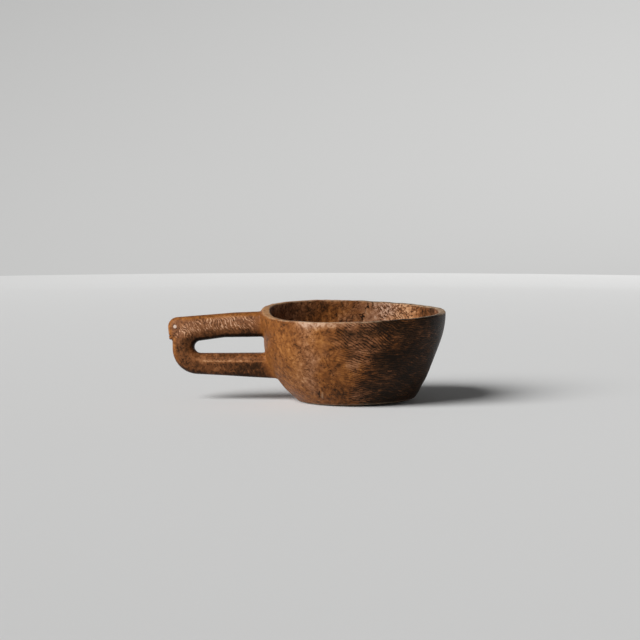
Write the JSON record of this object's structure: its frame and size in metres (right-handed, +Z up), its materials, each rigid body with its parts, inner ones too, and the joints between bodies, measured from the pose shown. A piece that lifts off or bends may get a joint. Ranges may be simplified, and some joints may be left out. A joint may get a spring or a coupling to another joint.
{
  "type": "wooden kuksa cup",
  "caption": "Large drinking scoop carved from burl wood: a deep round bowl with a flat base and a gently waving rim, and a level loop handle with a long finger slot.",
  "frame": {"origin": "centre of the flat underside of the bowl, at the height of the surface that it stands on", "axes": "+Z up; +X along the object's length, away from the handle, which points towards -X; Y across the bowl"},
  "size_m": [0.4093, 0.2504, 0.1404],
  "materials": {
    "burl_wood": "oiled and worn, satin",
    "gripped_wood": "darkened and polished by hands, satin"
  },
  "bodies": {
    "root": {"bowl": "burl_wood", "handle_upper_arm": "gripped_wood", "handle_end_post": "gripped_wood", "handle_lower_arm": "gripped_wood"}
  },
  "joints": []
}
